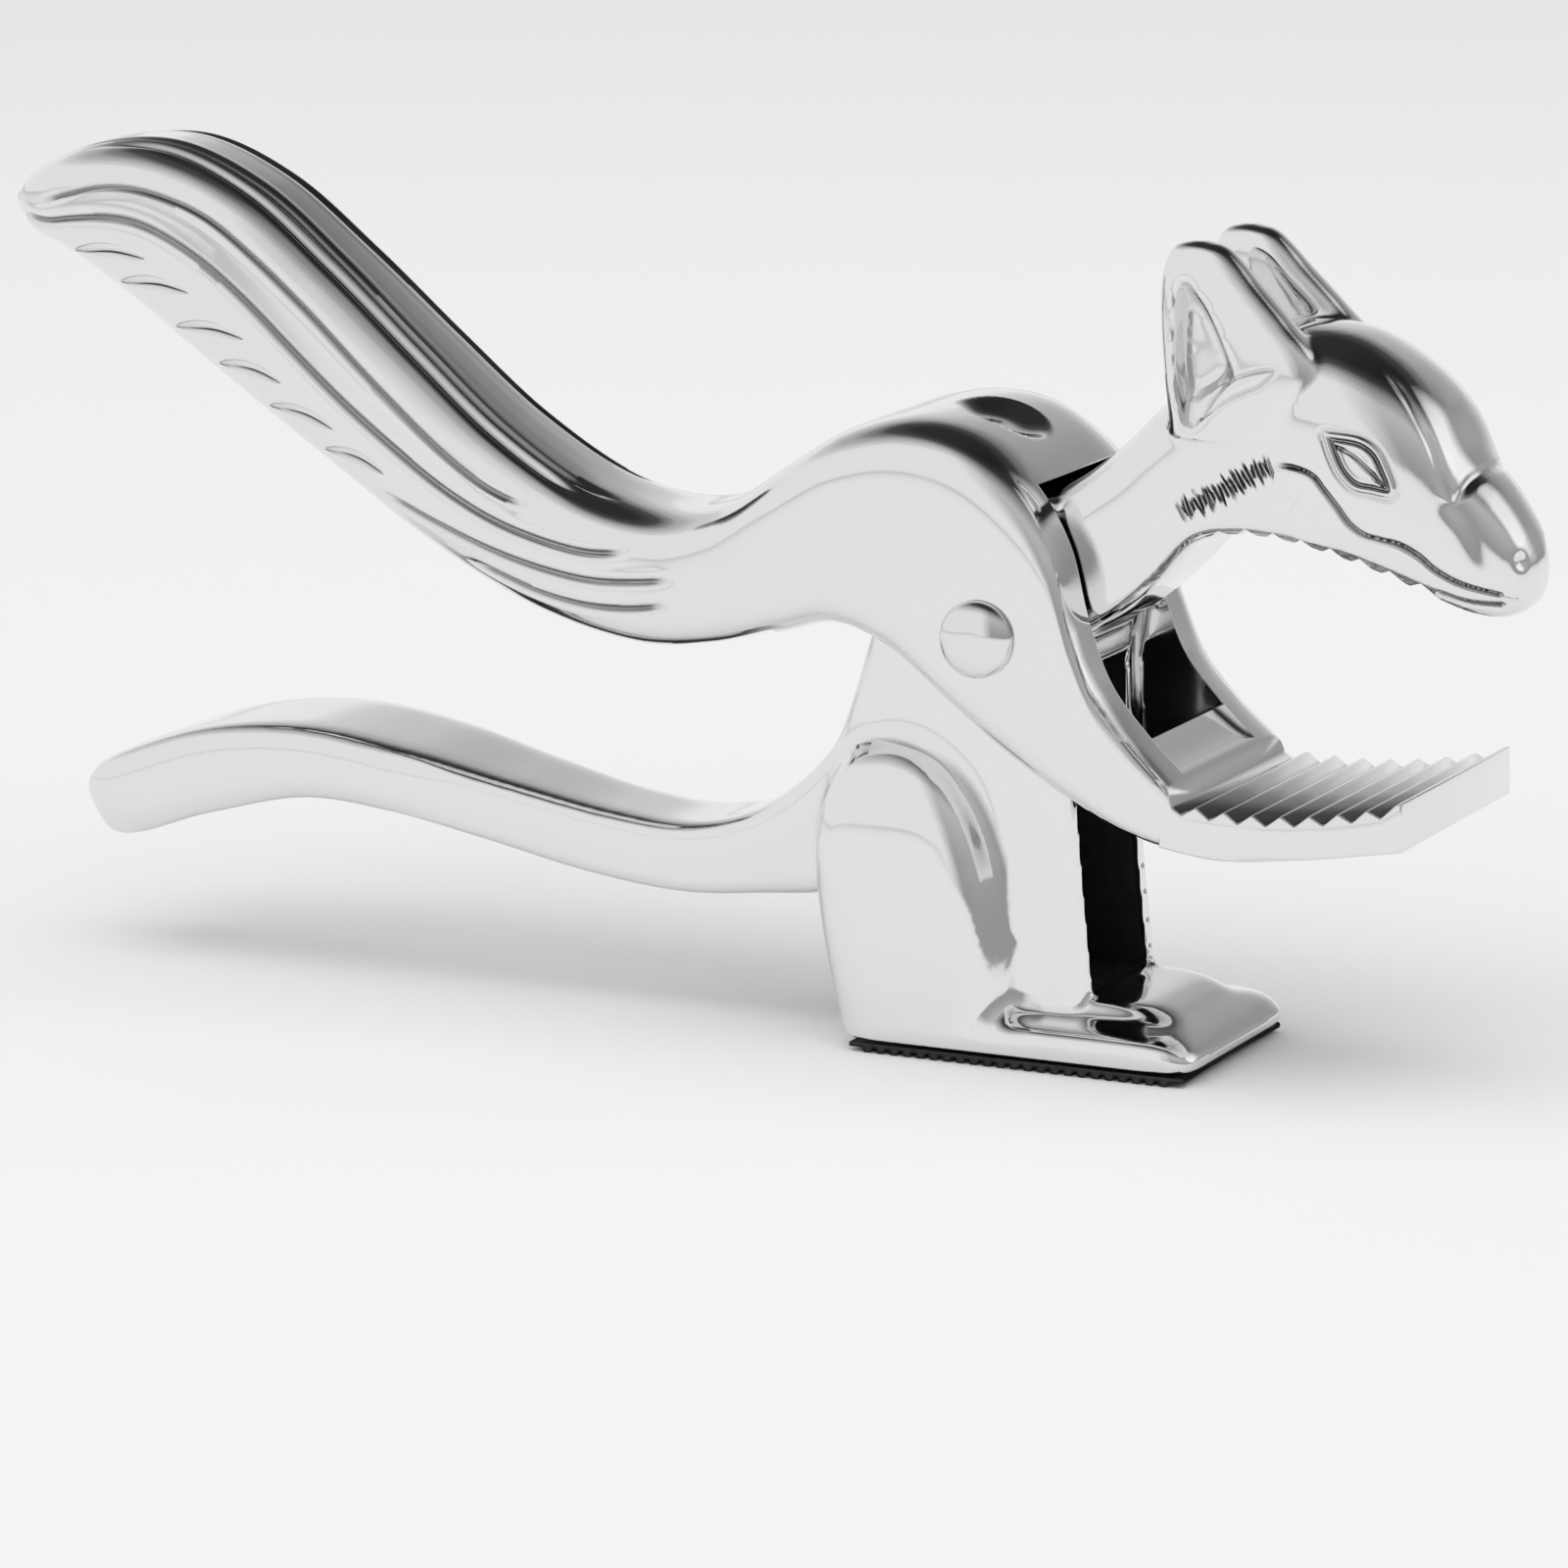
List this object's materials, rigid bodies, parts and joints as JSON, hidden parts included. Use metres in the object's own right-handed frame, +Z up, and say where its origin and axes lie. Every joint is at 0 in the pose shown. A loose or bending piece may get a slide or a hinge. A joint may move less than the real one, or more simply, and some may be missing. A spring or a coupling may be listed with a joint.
{
  "type": "nutcracker",
  "caption": "Squirrel-shaped lever nutcracker on a foot: the tail and toothed paws turn on a rivet and press a nut against the toothed upper jaw.",
  "frame": {"origin": "centre of the foot pad's underside, on the plane the nutcracker stands on", "axes": "+X the way the squirrel looks, +Z up, Y across, along the rivet"},
  "size_m": [0.1756, 0.0346, 0.0884],
  "materials": {
    "body_chrome": "polished",
    "lever_chrome": "polished",
    "rivet_chrome": "polished",
    "pad_rubber": "matt, ribbed"
  },
  "bodies": {
    "body": {"body_casting": "body_chrome", "foot_pad": "pad_rubber"},
    "lever": {"tail_lever_casting": "lever_chrome", "pivot_rivet": "rivet_chrome"}
  },
  "joints": [
    {"name": "lever_hinge", "type": "hinge", "parent": "body", "child": "lever", "pos_m": [-0.0035, 0, 0.0448], "axis": [0, -1, 0], "range_deg": [-5, 20]}
  ]
}
